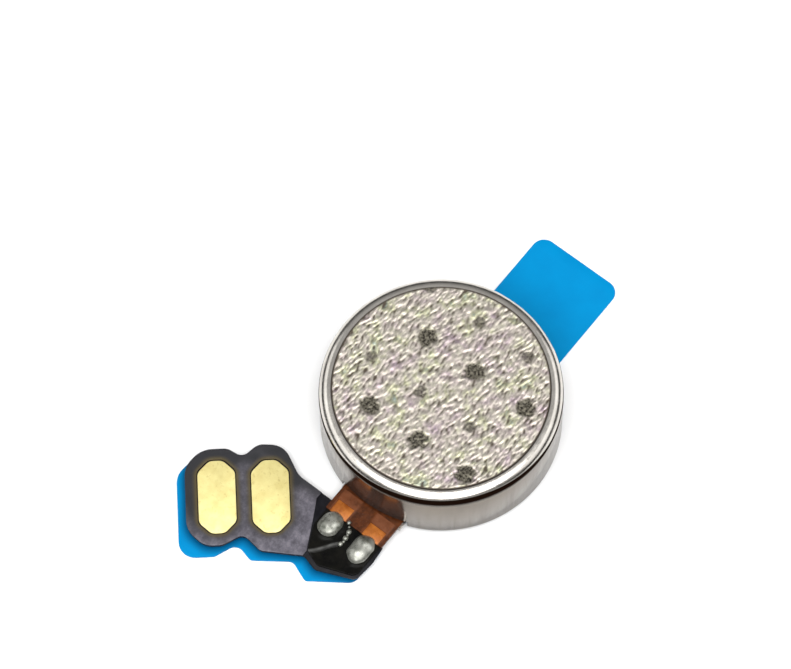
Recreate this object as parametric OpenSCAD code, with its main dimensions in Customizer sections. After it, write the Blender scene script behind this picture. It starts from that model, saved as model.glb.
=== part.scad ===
// Coin vibration motor: a flat eccentric-rotor motor with a short two-contact flex tail.
// Origin: on the motor axis, at the underside of the release liner it rests on. +Z is up,
// the flex neck leaves the case towards -X and the liner's pull tab reaches towards +X.

/* [Case] */
// Outside diameter of the case
case_d = 10; // [8.3:0.1:12]
// Height of the steel cup
case_h = 3.15; // [2.6:0.05:3.8]
// Thickness of the cup's sheet
case_wall = 0.2; // [0.15:0.01:0.25]
// Outside radius of the rounded shoulder
case_shoulder_r = 0.45; // [0.3:0.01:0.6]
// Depth of the blind seat for the shaft in the cup's ceiling
shaft_seat_depth = 0.1; // [0.05:0.01:0.12]

/* [Base plate] */
// Thickness of the base plate
plate_t = 0.2; // [0.15:0.01:0.3]
// Radius of the drawn boss that grips the shaft
boss_r = 0.8; // [0.65:0.01:0.95]
// Height of the boss above the base plate
boss_h = 0.85; // [0.7:0.01:1]
// Radial gap between the base plate and the cup
plate_gap = 0.02; // [0.01:0.01:0.05]
// Width that the tongue has beyond the flex neck, both sides together
tongue_margin = 0.12; // [0:0.01:0.2]
// Radius of each weld spot between the base plate and the cup
weld_r = 0.14; // [0.1:0.01:0.18]
// Depth of each weld spot
weld_depth = 0.08; // [0.05:0.01:0.12]

/* [Tape and liners] */
// Thickness of the motor's double-sided tape
tape_t = 0.12; // [0.08:0.01:0.2]
// Thickness of a release liner
liner_t = 0.08; // [0.05:0.01:0.12]
// How far the tape stays inside the case edge
tape_inset = 0.35; // [0.2:0.05:0.8]
// How far the liner's disc stays inside the case edge
liner_inset = 0.2; // [0.1:0.05:0.6]
// Reach of the pull tab beyond the case
tab_reach = 4.2; // [3:0.1:6]
// Width of the pull tab
tab_w = 4.15; // [3:0.05:5]
// Sideways place of the pull tab's middle
tab_y = -0.25; // [-0.5:0.05:0.5]
// Corner radius of the pull tab
tab_corner_r = 0.55; // [0.2:0.05:0.8]

/* [Conductive pad] */
// How far the pad on the case top stays inside the case edge
pad_inset = 0.54; // [0.45:0.01:1]
// Thickness of the pad's adhesive
pad_glue_t = 0.03; // [0.02:0.01:0.05]
// How far the adhesive stays inside the pad's edge
pad_glue_inset = 0.02; // [0.01:0.01:0.1]
// Thickness of the pad's cloth
pad_cloth_t = 0.08; // [0.05:0.01:0.15]

/* [Flex neck] */
// Width of the neck
neck_w = 2.9; // [2.5:0.05:3.1]
// Sideways place of the neck's middle
neck_y = -0.25; // [-0.5:0.05:0.5]
// Free length of the neck that bends
neck_free = 0.46; // [0.4:0.01:0.6]
// Length of the neck's end that laps onto the tail
lap_l = 0.65; // [0.5:0.01:0.8]
// Thickness of the base film
film_t = 0.05; // [0.03:0.01:0.07]
// Thickness of the copper
copper_t = 0.03; // [0.02:0.01:0.05]
// Thickness of the cover film over the base film
cover_t = 0.07; // [0.06:0.01:0.1]
// Width of each copper trace
trace_w = 0.9; // [0.7:0.05:1]
// Distance between the two traces' middles
trace_pitch = 1.66; // [1.5:0.01:1.8]
// Gap between the flex's round board and the boss
board_gap = 0.1; // [0.05:0.01:0.2]
// Gap around the flex where it passes through the cup's notch
notch_gap = 0.1; // [0.05:0.01:0.2]
// How far the cover film laps over each land's edge
land_lip = 0.04; // [0.02:0.01:0.08]

/* [Tail] */
// Length of a contact pad
contact_l = 3.2; // [2.7:0.05:3.85]
// Width of a contact pad
contact_w = 1.55; // [1.3:0.05:1.85]
// Distance between the two contacts' middles
contact_pitch = 2.2; // [2:0.05:2.6]
// How far the inner contact is set back along its length
contact_stagger = 0.08; // [0:0.01:0.15]
// Length cut off each corner of a contact pad
contact_corner = 0.5; // [0.3:0.05:0.6]
// Radius that rounds each of those cut corners
contact_round = 0.4; // [0.1:0.05:0.5]
// Flex left around the contacts
head_margin = 0.52; // [0.4:0.01:0.7]
// How much longer the cut on the head's corners is than that on a contact's
corner_margin = 0.22; // [0.1:0.01:0.3]
// Distance of the tail's near edge from where the neck stops bending
neck_clear = 0.22; // [0.15:0.01:0.3]
// Angle between the contacts' long side and +X
head_angle = 41; // [35:1:47]
// Distance of the contacts' middle from the case edge, along -X
head_out = 2.78; // [2.7:0.01:3.4]
// Distance of the contacts' middle from the neck's middle, along +Y
head_up = 4.43; // [4.3:0.01:5.2]
// Depth of the notches between the two contacts
head_notch = 0.42; // [0.2:0.01:0.6]
// Thickness of the tail's tape
tail_tape_t = 0.1; // [0.06:0.01:0.14]
// Thickness of the stiffener
stiffener_t = 0.12; // [0.08:0.01:0.16]
// Thickness of the tail's cover film
tail_cover_t = 0.05; // [0.03:0.01:0.08]
// Thickness of a contact's copper and gold
contact_t = 0.03; // [0.02:0.01:0.05]
// How far the cover film's window stays clear of a contact
window_gap = 0.04; // [0.02:0.01:0.08]
// How far the tail's liner stands out past the head, to give an edge to peel
liner_lip = 0.35; // [0.2:0.01:0.5]
// How far the tail's liner stays inside the tail's other edges
liner_hide = 0.1; // [0.05:0.01:0.2]

/* [Solder and glue] */
// Length of a lap joint's solder
solder_l = 1.1; // [0.9:0.05:1.3]
// Width of a lap joint's solder
solder_w = 0.85; // [0.7:0.05:0.9]
// How much longer the solder of the joint on the -Y side is
solder_extra = 0.2; // [0:0.01:0.3]
// Distance of a lap joint's middle beyond the neck's end
solder_out = 0.47; // [0.3:0.01:0.5]
// Height of a lap joint's solder above the tail flex
solder_h = 0.36; // [0.3:0.01:0.45]
// Thickness of the glue around the lap joints
glue_t = 0.12; // [0.1:0.01:0.15]
// Least width of the glue beside a lap joint
glue_rim = 0.06; // [0.04:0.01:0.1]

/* [Shaft and washers] */
// Radius of the shaft
shaft_r = 0.4; // [0.35:0.01:0.48]
// Gap between the shaft's end and the bottom of its seat
shaft_end_gap = 0.02; // [0.01:0.01:0.04]
// Thickness of a thrust washer
washer_t = 0.1; // [0.08:0.01:0.12]
// Outside radius of a thrust washer
washer_r = 0.7; // [0.6:0.01:0.8]
// Radial gap between a thrust washer and the shaft
washer_gap = 0.03; // [0.02:0.01:0.05]

/* [Magnet] */
// Inside radius of the ring magnet
magnet_hole_r = 2.4; // [2.3:0.05:2.6]
// Thickness of the ring magnet
magnet_t = 0.75; // [0.6:0.05:0.85]
// Gap between the ring magnet and the cup
magnet_gap = 0.15; // [0.1:0.01:0.3]

/* [Brushes] */
// Width of a leaf brush
brush_w = 0.3; // [0.2:0.01:0.36]
// Thickness of a leaf brush
brush_t = 0.05; // [0.03:0.01:0.07]
// Distance of a brush's middle from the shaft axis
brush_out = 1.32; // [1.3:0.01:1.4]
// Length of a brush's soldered foot
brush_foot = 0.6; // [0.4:0.05:0.7]
// Length of a brush's sloping part
brush_ramp = 0.9; // [0.8:0.05:1]
// Length of a brush's tip beyond its highest line
brush_tip_l = 0.25; // [0.15:0.01:0.3]
// How far the end of that tip turns down
brush_tip_drop = 0.06; // [0.02:0.01:0.1]
// Gap left between a brush's tip and the commutator
brush_gap = 0.01; // [0.01:0.01:0.03]

/* [Rotor] */
// Radial running clearance between the shaft and the bearing
bearing_clearance = 0.02; // [0.01:0.01:0.06]
// Outside radius of the sintered bearing
bearing_r = 0.75; // [0.65:0.01:0.8]
// How far the bearing reaches below the commutator
bearing_lead = 0.08; // [0.05:0.01:0.12]
// Free end play of the rotor between its washers
end_play = 0.06; // [0.04:0.01:0.1]
// Gap between the rotor's outer edge and the cup
rotor_gap = 0.4; // [0.3:0.01:0.5]
// Gap between the rotor's top and the cup's ceiling
rotor_head_gap = 0.3; // [0.2:0.01:0.4]
// Thickness of the commutator's segments
segment_t = 0.05; // [0.03:0.01:0.06]
// Inside radius of the commutator
segment_in_r = 0.95; // [0.9:0.01:1]
// Outside radius of the commutator
segment_out_r = 1.75; // [1.65:0.01:1.85]
// Gap between two neighbouring segments
segment_gap = 0.12; // [0.08:0.01:0.16]
// Number of commutator segments
segments = 6; // [4:2:8]
// Thickness of the rotor's board
board_t = 0.2; // [0.15:0.01:0.25]
// How far the rotor's round hub reaches beyond the commutator
hub_margin = 0.05; // [0.02:0.01:0.1]
// Half of the angle that the rotor's wide side spans
rotor_half_angle = 97; // [95:1:110]
// Angle of each coil from the rotor's heavy side
coil_angle = 63; // [62:1:65]
// Radius of a coil's open middle
coil_hole_r = 0.5; // [0.3:0.05:0.6]
// Distance of the weight's inner edge from the commutator's outer edge
weight_clear = 0.35; // [0.25:0.05:0.6]
// Half of the angle that the weight spans
weight_half_angle = 27; // [20:1:28]
// Gap between the coils or the weight and the rotor's resin
pocket_gap = 0.02; // [0.01:0.01:0.04]
// Resin left between a coil and the rotor's edges
resin_edge = 0.12; // [0.08:0.01:0.2]

/* [Hidden] */
$fn = 96;
eps = 0.01;
corner_steps = 8;
weld_angles = [35, 125, 235, 325];

// Heights, from the resting plane up
plate_z = liner_t + tape_t;
flex_z = plate_z + plate_t;
copper_z = flex_z + film_t;
flex_top_z = copper_z + cover_t;
case_top_z = plate_z + case_h;
ceiling_z = case_top_z - case_wall;
cloth_z = case_top_z + pad_glue_t;
boss_top_z = flex_z + boss_h;
lower_washer_z = boss_top_z;
upper_washer_z = ceiling_z - washer_t;
bearing_z = lower_washer_z + washer_t + end_play / 2;
bearing_h = upper_washer_z - end_play / 2 - bearing_z;
segment_z = bearing_z + bearing_lead;
board_z = segment_z + segment_t;
board_top_z = board_z + board_t;
rotor_top_z = ceiling_z - rotor_head_gap;
coil_h = rotor_top_z - board_top_z;
brush_tip_z = segment_z - brush_gap;

// Radii and places of the motor
case_r = case_d / 2;
bore_r = case_r - case_wall;
plate_r = bore_r - plate_gap;
tongue_w = neck_w + tongue_margin;
tongue_end = -case_r;
rotor_r = bore_r - rotor_gap;
coil_room = rotor_r - resin_edge - segment_out_r;
coil_r = coil_room / 2;
coil_out = segment_out_r + coil_room / 2;
magnet_r = bore_r - magnet_gap;

// Places of the tail, counted from where the neck leaves the case
bend_start_x = -case_r - 0.02;
bend_end_x = bend_start_x - neck_free;
lap_end_x = bend_end_x - lap_l;
tail_edge_x = bend_end_x - neck_clear;
tail_z = flex_z;
stiffener_z = liner_t + tail_tape_t;
tail_flex_z = stiffener_z + stiffener_t;
head_x = -case_r - head_out;
head_y = neck_y + head_up;
head_h = contact_l / 2 + head_margin;
head_w = contact_pitch / 2 + contact_w / 2 + head_margin;
head_cut = contact_corner + corner_margin;
neck_top_y = neck_y + neck_w / 2;
neck_low_y = neck_y - neck_w / 2;
joint_reach = trace_pitch / 2 + solder_w / 2 + glue_rim;
glue_top_y = max(neck_top_y - 0.08, neck_y + joint_reach);
glue_low_y = min(neck_low_y + 0.05, neck_y - joint_reach);

// A point of the tail's head, from its own long and short axes
function head_point(u, v) = [
    head_x + u * cos(head_angle) - v * sin(head_angle),
    head_y + u * sin(head_angle) + v * cos(head_angle)];

// A corner of an outline: a point and the radius that rounds it
function corner(p, r) = [p[0], p[1], r];

// Unit vector from a to b
function towards(a, b) = [b[0] - a[0], b[1] - a[1]] / norm([b[0] - a[0], b[1] - a[1]]);

// The arc that rounds corner b between its neighbours a and c
function corner_arc(a, b, c) =
    let (from = towards(b, a), to = towards(b, c),
         half = acos(max(-1, min(1, from * to))) / 2,
         reach = min(b[2] / tan(half), 0.49 * norm([a[0] - b[0], a[1] - b[1]]),
                     0.49 * norm([c[0] - b[0], c[1] - b[1]])),
         r = reach * tan(half),
         middle = [b[0], b[1]] + (from + to) / norm(from + to) * r / sin(half),
         first = [b[0], b[1]] + from * reach - middle,
         side = from[0] * to[1] - from[1] * to[0] > 0 ? -1 : 1,
         turn = side * (180 - 2 * half))
    [for (i = [0:corner_steps])
        let (t = turn * i / corner_steps)
        middle + [first[0] * cos(t) - first[1] * sin(t), first[0] * sin(t) + first[1] * cos(t)]];

// An outline with all its corners rounded
function rounded(corners) =
    let (n = len(corners))
    [for (i = [0:n - 1])
        each corner_arc(corners[(i + n - 1) % n], corners[i], corners[(i + 1) % n])];

// The same corners moved inwards by d, for an outline listed clockwise
function inset(corners, d) =
    let (n = len(corners))
    [for (i = [0:n - 1])
        let (a = corners[(i + n - 1) % n], b = corners[i], c = corners[(i + 1) % n],
             e = towards(a, b), f = towards(b, c),
             m = [e[1] + f[1], -e[0] - f[0]] / (1 + e * f))
        [b[0] + m[0] * d, b[1] + m[1] * d, b[2]]];

// The tail's outline, clockwise from the head's outer left corner
tail_corners = [
    corner(head_point(-head_h, head_w - head_cut), 1.1),
    corner(head_point(-head_h + head_cut, head_w), 1.1),
    corner(head_point(head_h - head_cut, head_w), 1.1),
    corner(head_point(head_h, head_w - head_cut), 1.1),
    corner(head_point(head_h, 0.6), 0.6),
    corner(head_point(head_h - head_notch, 0), 0.4),
    corner(head_point(head_h + 0.12, -0.68), 0.6),
    corner(head_point(head_h + 0.02, -head_w + head_cut - 0.05), 0.9),
    corner([tail_edge_x, neck_y + 3.2], 0.9),
    corner([tail_edge_x, neck_top_y + 0.02], 0.05),
    corner([lap_end_x + 0.1, neck_top_y - 0.1], 0.05),
    corner([lap_end_x + 0.1, neck_low_y - 0.02], 0.1),
    corner([lap_end_x - 0.7, neck_low_y - 0.1], 0.4),
    corner([lap_end_x - 1.68, neck_low_y - 0.02], 0.35),
    corner([lap_end_x - 2.38, neck_y + 0.15], 0.3),
    corner([lap_end_x - 2.18, neck_y + 0.85], 0.3),
    corner([lap_end_x - 3.11, neck_y + 2.39], 0.4),
    corner(head_point(-head_h + head_notch, 0.08), 0.35),
    corner(head_point(-head_h, 0.97), 0.6)];

// The tail liner's outline, in the same order: it follows the tail, and stands out at the left
tail_liner_corners = [
    corner(head_point(-head_h - liner_lip, head_w + liner_lip), 0.7),
    corner(head_point(head_h - head_cut - 0.2, head_w + liner_lip), 0.9),
    corner(head_point(head_h - liner_hide, head_w - head_cut + 0.2), 1.1),
    corner(head_point(head_h - liner_hide, 0.6), 0.6),
    corner(head_point(head_h - head_notch - liner_hide, 0), 0.4),
    corner(head_point(head_h - liner_hide + 0.12, -0.68), 0.6),
    corner(head_point(head_h - liner_hide, -head_w + head_cut), 0.9),
    corner([tail_edge_x - liner_hide, neck_y + 3.2], 0.9),
    corner([tail_edge_x - liner_hide, neck_top_y - liner_hide], 0.05),
    corner([lap_end_x, neck_top_y - liner_hide - 0.1], 0.05),
    corner([lap_end_x, neck_low_y + 0.02], 0.1),
    corner([lap_end_x - 1.75, neck_low_y + 0.04], 0.5),
    corner([lap_end_x - 2.92, neck_y + 0.23], 0.2),
    corner([lap_end_x - 2.56, neck_y + 1.13], 0.35),
    corner([lap_end_x - 3.59, neck_y + 2.53], 0.25),
    corner([lap_end_x - 3.37, neck_y + 3.4], 0.4),
    corner(head_point(-head_h - liner_lip, 1.3), 0.35)];

// The leaf brush's line, from its foot to its tip, with its lower side first
brush_line = [
    [0, 0], [brush_foot, 0],
    for (i = [1:8]) [brush_foot + brush_ramp * i / 8,
                     (brush_tip_z - brush_t - flex_top_z) * (1 - cos(180 * i / 8)) / 2],
    [brush_foot + brush_ramp + brush_tip_l, brush_tip_z - brush_t - flex_top_z - brush_tip_drop]];

// Polygon of a ring's sector, centred on +Y
function sector(r_in, r_out, half) = concat(
    [for (i = [0:24]) let (t = 90 - half + 2 * half * i / 24) r_out * [cos(t), sin(t)]],
    [for (i = [0:24]) let (t = 90 + half - 2 * half * i / 24) r_in * [cos(t), sin(t)]]);

// A plate with rounded corners
module plate(corners, z, t) {
    translate([0, 0, z]) linear_extrude(t) polygon(rounded(corners));
}

// A flat ring
module ring(r_in, r_out, z, t) {
    translate([0, 0, z]) difference() {
        cylinder(r = r_out, h = t);
        translate([0, 0, -eps]) cylinder(r = r_in, h = t + 2 * eps);
    }
}

// A box from one corner to the other
module span(low, high) {
    translate(low) cube(high - low);
}

// Weld spots where the base plate meets the cup's edge, clear of the tongue
module weld_places() {
    for (a = weld_angles) rotate(a) translate([bore_r, 0, plate_z]) children();
}

// One lap joint's mound of solder, over the trace at side 1 or -1, begun deeper by d
module solder_joint(side, d) {
    h = solder_h + d;
    extra = side < 0 ? solder_extra : 0;
    run = solder_l + extra - solder_w;
    translate([lap_end_x - solder_out - extra / 2, neck_y + side * trace_pitch / 2, tail_z - d])
        hull() for (end = [-1, 1]) translate([end * run / 2, 0, 0]) {
            cylinder(d = solder_w, h = h * 0.4, $fn = 32);
            cylinder(d = solder_w * 0.55, h = h, $fn = 32);
        }
}

// Corners of the outer (side 1) or inner (side -1) contact pad, grown by g
function contact_corners(side, g) =
    let (a = contact_l / 2 + g, b = contact_w / 2 + g, c = contact_corner,
         u = side < 0 ? -contact_stagger : 0, v = side * contact_pitch / 2)
    [for (p = [[-a, b - c], [-a + c, b], [a - c, b], [a, b - c],
               [a, -b + c], [a - c, -b], [-a + c, -b], [-a, -b + c]])
        corner(head_point(u + p[0], v + p[1]), contact_round)];

module case() {
    r = case_shoulder_r;
    color("silver") difference() {
        translate([0, 0, plate_z]) rotate_extrude() union() {
            square([case_r, case_h - r]);
            square([case_r - r, case_h]);
            translate([case_r - r, case_h - r]) intersection() {
                circle(r);
                square(r);
            }
        }
        translate([0, 0, plate_z - eps]) cylinder(r = bore_r, h = case_h - case_wall + eps);
        translate([0, 0, ceiling_z - eps])
            cylinder(r = shaft_r + washer_gap, h = shaft_seat_depth + eps);
        span([-case_r - eps, neck_y - tongue_w / 2 - notch_gap, plate_z - eps],
             [-bore_r / 2, neck_y + tongue_w / 2 + notch_gap, flex_top_z + notch_gap]);
        weld_places() translate([0, 0, -eps]) cylinder(r = weld_r, h = weld_depth + eps);
    }
}

module base_plate() {
    color("gainsboro") difference() {
        union() {
            translate([0, 0, plate_z]) cylinder(r = plate_r, h = plate_t);
            translate([0, 0, plate_z]) cylinder(r = boss_r, h = plate_t + boss_h);
            span([tongue_end, neck_y - tongue_w / 2, plate_z],
                 [-bore_r / 2, neck_y + tongue_w / 2, flex_z]);
        }
        translate([0, 0, plate_z - eps]) cylinder(r = shaft_r, h = plate_t + boss_h + 2 * eps);
        weld_places() translate([0, 0, -eps]) cylinder(r = weld_r, h = weld_depth + eps);
    }
}

module weld_spots() {
    color("dimgray") weld_places() cylinder(r = weld_r, h = weld_depth);
}

module shaft() {
    color("lightgray") translate([0, 0, plate_z])
        cylinder(r = shaft_r, h = ceiling_z + shaft_seat_depth - shaft_end_gap - plate_z);
}

module lower_washer() {
    color("white") ring(shaft_r + washer_gap, washer_r, lower_washer_z, washer_t);
}

module upper_washer() {
    color("white") ring(shaft_r + washer_gap, washer_r, upper_washer_z, washer_t);
}

module ring_magnet() {
    color("dimgray") ring(magnet_hole_r, magnet_r, flex_top_z, magnet_t);
}

// The round flex board under the magnet, with its strip out through the cup's notch
module board_flex() {
    color("darkorange") difference() {
        union() {
            translate([0, 0, flex_z]) cylinder(r = magnet_r, h = film_t + cover_t);
            span([bend_start_x, neck_low_y, flex_z], [-magnet_hole_r, neck_top_y, flex_top_z]);
        }
        translate([0, 0, flex_z - eps])
            cylinder(r = boss_r + board_gap, h = film_t + cover_t + 2 * eps);
    }
}

// A leaf brush whose foot is soldered at the -X side of the magnet's hole
module leaf_brush() {
    tip = brush_foot + brush_ramp;
    top = [for (p = brush_line) p + [0, brush_t]];
    translate([-tip, -brush_out + brush_w / 2, flex_top_z]) rotate([90, 0, 0])
        linear_extrude(brush_w)
        polygon(concat(brush_line, [for (i = [len(top) - 1:-1:0]) top[i]]));
}

module brush_left() {
    color("gold") leaf_brush();
}

module brush_right() {
    color("gold") rotate(180) leaf_brush();
}

module brush_solder() {
    foot = brush_foot + brush_ramp - brush_foot / 2;
    color("silver") for (a = [0, 180]) rotate(a)
        translate([-foot, -brush_out, flex_top_z + brush_t])
            cylinder(r1 = brush_w / 2, r2 = brush_w / 4, h = 0.1);
}

module pad_adhesive() {
    color("gray") translate([0, 0, case_top_z])
        cylinder(r = case_r - pad_inset - pad_glue_inset, h = pad_glue_t);
}

module conductive_pad() {
    color("darkgray") translate([0, 0, cloth_z]) cylinder(r = case_r - pad_inset, h = pad_cloth_t);
}

module motor_tape() {
    color("white") translate([0, 0, liner_t]) cylinder(r = case_r - tape_inset, h = tape_t);
}

module motor_liner() {
    tab = [[0, tab_y + tab_w / 2, 0.01],
           [case_r + tab_reach, tab_y + tab_w / 2, tab_corner_r],
           [case_r + tab_reach, tab_y - tab_w / 2, tab_corner_r],
           [0, tab_y - tab_w / 2, 0.01]];
    color("deepskyblue") union() {
        cylinder(r = case_r - liner_inset, h = liner_t);
        plate(tab, 0, liner_t);
    }
}

// The layers of the amber flex between two places along X
module flex_film(x1, x2) {
    span([x1, neck_low_y, flex_z], [x2, neck_top_y, copper_z]);
}

module flex_traces(x1, x2) {
    for (s = [-1, 1])
        span([x1, neck_y + s * trace_pitch / 2 - trace_w / 2, copper_z],
             [x2, neck_y + s * trace_pitch / 2 + trace_w / 2, copper_z + copper_t]);
}

module flex_cover(x1, x2) {
    difference() {
        span([x1, neck_low_y, copper_z], [x2, neck_top_y, flex_top_z]);
        translate([0, 0, -eps]) flex_traces(x1 - eps, x2 + eps);
        flex_traces(x1 - eps, x2 + eps);
    }
}

module neck_film() {
    color("chocolate") flex_film(bend_end_x, bend_start_x);
}

module neck_traces() {
    color("peru") flex_traces(bend_end_x, bend_start_x);
}

module neck_cover() {
    color("orange") flex_cover(bend_end_x, bend_start_x);
}

module lap_film() {
    color("chocolate") flex_film(lap_end_x, bend_end_x);
}

module lap_lands() {
    color("gold") flex_traces(lap_end_x, bend_end_x);
}

// The cover film over the lap, open above each land for soldering
module lap_cover() {
    color("orange") difference() {
        flex_cover(lap_end_x, bend_end_x);
        for (s = [-1, 1])
            span([lap_end_x - eps, neck_y + s * trace_pitch / 2 - trace_w / 2 + land_lip,
                  copper_z + copper_t],
                 [bend_end_x - land_lip, neck_y + s * trace_pitch / 2 + trace_w / 2 - land_lip,
                  flex_top_z + eps]);
    }
}

// Each lap joint climbs from the tail's land over the end of the neck
module lap_solder() {
    color("lightgray") difference() {
        for (s = [-1, 1])
            solder_joint(s, 0);
        lap_cuts();
    }
}

// What the neck's end takes out of anything laid over it
module lap_cuts() {
    span([lap_end_x, neck_low_y - eps, tail_z - eps], [0, neck_top_y + eps, copper_z + copper_t]);
    for (s = [-1, 0, 1])
        span([lap_end_x, neck_y + s * trace_pitch - trace_pitch / 2 + trace_w / 2 - land_lip, tail_z],
             [0, neck_y + s * trace_pitch + trace_pitch / 2 - trace_w / 2 + land_lip, flex_top_z]);
}

glue_corners = [
    [lap_end_x - 1.95, neck_y + 0.85, 0.3], [lap_end_x - 0.9, glue_top_y, 0.3],
    [lap_end_x - 0.02, glue_top_y, 0.05], [lap_end_x - 0.02, glue_low_y, 0.05],
    [lap_end_x - 1.6, glue_low_y + 0.01, 0.35], [lap_end_x - 2.2, neck_y + 0.15, 0.35]];

module joint_glue() {
    color("#202020") difference() {
        plate(glue_corners, tail_z, glue_t);
        for (s = [-1, 1])
            solder_joint(s, eps);
    }
}

module tail_flex() {
    color("#303038") plate(tail_corners, tail_flex_z, tail_z - tail_flex_z);
}

module tail_stiffener() {
    color("#202024") plate(inset(tail_corners, 0.03), stiffener_z, stiffener_t);
}

module tail_cover() {
    color("#55555c") difference() {
        plate(tail_corners, tail_z, tail_cover_t);
        for (s = [-1, 1])
            plate(contact_corners(s, window_gap), tail_z - eps,
                  tail_cover_t + 2 * eps);
        translate([0, 0, tail_z - eps]) linear_extrude(tail_cover_t + 2 * eps)
            polygon([[lap_end_x - 3, neck_y - 3], [lap_end_x - 3, neck_y + 0.9],
                     [lap_end_x - 1.95, neck_y + 0.9], [lap_end_x - 0.9, glue_top_y + 0.08],
                     [lap_end_x + 0.1, glue_top_y + 0.63], [tail_edge_x + 1, glue_top_y + 0.63],
                     [tail_edge_x + 1, neck_y - 3]]);
    }
}

module contact(side) {
    color("gold") plate(contact_corners(side, 0), tail_z, contact_t);
}

module contact_outer() {
    contact(1);
}

module contact_inner() {
    contact(-1);
}

module tail_tape() {
    color("white") plate(inset(tail_corners, 0.1), liner_t, tail_tape_t);
}

module tail_liner() {
    color("deepskyblue") plate(tail_liner_corners, 0, liner_t);
}

module rotor_outline() {
    union() {
        polygon(sector(segment_in_r, rotor_r, rotor_half_angle));
        circle(segment_out_r + hub_margin);
    }
}

module rotor_board() {
    color("darkgreen") translate([0, 0, board_z]) linear_extrude(board_t) difference() {
        rotor_outline();
        circle(bearing_r);
    }
}

module commutator() {
    color("gold") translate([0, 0, segment_z]) linear_extrude(segment_t)
        for (i = [0:segments - 1]) rotate(360 / segments * (i + 0.5)) difference() {
            polygon(sector(segment_in_r, segment_out_r, 180 / segments));
            for (s = [-1, 1]) rotate(s * 180 / segments)
                translate([-segment_gap / 2, 0]) square([segment_gap, segment_out_r + 1]);
        }
}

module coil_places() {
    for (s = [-1, 1]) rotate(s * coil_angle) translate([0, coil_out, board_top_z]) children();
}

module weight_shape(grow) {
    inner = segment_out_r + weight_clear;
    polygon(sector(inner - grow, rotor_r - resin_edge + grow, weight_half_angle));
}

module rotor_resin() {
    color("darkslategray") difference() {
        translate([0, 0, board_top_z]) linear_extrude(coil_h) rotor_outline();
        translate([0, 0, board_top_z - eps]) cylinder(r = bearing_r, h = coil_h + 2 * eps);
        coil_places() translate([0, 0, -eps]) cylinder(r = coil_r + pocket_gap, h = coil_h + 2 * eps);
        translate([0, 0, board_top_z - eps]) linear_extrude(coil_h + 2 * eps)
            weight_shape(pocket_gap);
    }
}

module coil(side) {
    color("peru") rotate(side * coil_angle) translate([0, coil_out, 0])
        ring(coil_hole_r, coil_r, board_top_z, coil_h);
}

module coil_leading() {
    coil(1);
}

module coil_trailing() {
    coil(-1);
}

module eccentric_weight() {
    color("slategray") translate([0, 0, board_top_z]) linear_extrude(coil_h) weight_shape(0);
}

module bearing() {
    color("goldenrod") ring(shaft_r + bearing_clearance, bearing_r, bearing_z, bearing_h);
}

case();
base_plate();
weld_spots();
shaft();
lower_washer();
upper_washer();
ring_magnet();
board_flex();
brush_left();
brush_right();
brush_solder();
pad_adhesive();
conductive_pad();
motor_tape();
motor_liner();
neck_film();
neck_traces();
neck_cover();
lap_film();
lap_lands();
lap_cover();
lap_solder();
joint_glue();
tail_flex();
tail_stiffener();
tail_cover();
contact_outer();
contact_inner();
tail_tape();
tail_liner();
rotor_board();
commutator();
rotor_resin();
coil_leading();
coil_trailing();
eccentric_weight();
bearing();
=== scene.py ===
import math

import bmesh
import bpy
from mathutils import Matrix, Vector, noise


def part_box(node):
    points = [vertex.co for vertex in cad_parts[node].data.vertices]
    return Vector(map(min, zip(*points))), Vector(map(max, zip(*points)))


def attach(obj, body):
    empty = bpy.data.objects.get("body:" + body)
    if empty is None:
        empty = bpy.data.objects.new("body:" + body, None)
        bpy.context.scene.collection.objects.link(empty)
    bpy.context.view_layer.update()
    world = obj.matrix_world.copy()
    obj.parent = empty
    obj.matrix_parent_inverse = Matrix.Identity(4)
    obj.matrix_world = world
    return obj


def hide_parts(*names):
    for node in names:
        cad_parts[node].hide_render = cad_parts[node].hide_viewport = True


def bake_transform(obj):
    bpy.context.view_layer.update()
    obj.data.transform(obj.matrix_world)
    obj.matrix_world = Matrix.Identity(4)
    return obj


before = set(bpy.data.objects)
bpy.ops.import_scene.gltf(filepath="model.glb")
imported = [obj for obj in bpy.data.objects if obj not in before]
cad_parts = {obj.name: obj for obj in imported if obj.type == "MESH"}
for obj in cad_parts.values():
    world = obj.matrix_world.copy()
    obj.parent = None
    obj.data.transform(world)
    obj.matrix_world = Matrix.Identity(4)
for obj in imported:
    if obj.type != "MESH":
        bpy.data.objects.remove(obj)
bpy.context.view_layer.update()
print("frame loaded")

# Pieces are shaped in millimetres, then brought to metres by finishPiece
perMetre = 1000


def nodeBox(*names):
    corners = [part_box(name) for name in names]
    low = Vector([min(c[0][i] for c in corners) for i in range(3)]) * perMetre
    high = Vector([max(c[1][i] for c in corners) for i in range(3)]) * perMetre
    return low, high


def useOnly(*pieces):
    if bpy.context.mode != "OBJECT":
        bpy.ops.object.mode_set(mode="OBJECT")
    bpy.ops.object.select_all(action="DESELECT")
    for piece in pieces:
        piece.select_set(True)
    bpy.context.view_layer.objects.active = pieces[0]


def named(name):
    piece = bpy.context.active_object
    piece.name = piece.data.name = name
    return piece


def shapeIt(piece):
    useOnly(piece)
    bpy.ops.object.mode_set(mode="EDIT")
    bpy.ops.mesh.select_all(action="SELECT")


def pick(piece, kind, test):
    bpy.ops.mesh.select_mode(type=kind)
    bpy.ops.mesh.select_all(action="DESELECT")
    shape = bmesh.from_edit_mesh(piece.data)
    for part in {"FACE": shape.faces, "EDGE": shape.edges, "VERT": shape.verts}[kind]:
        if test(part):
            part.select_set(True)
    shape.select_flush_mode()
    bmesh.update_edit_mesh(piece.data)


def modify(piece, kind, **values):
    useOnly(piece)
    modifier = piece.modifiers.new(kind.title(), kind)
    for key, value in values.items():
        setattr(modifier, key, value)
    bpy.ops.object.modifier_apply(modifier=modifier.name)


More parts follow.
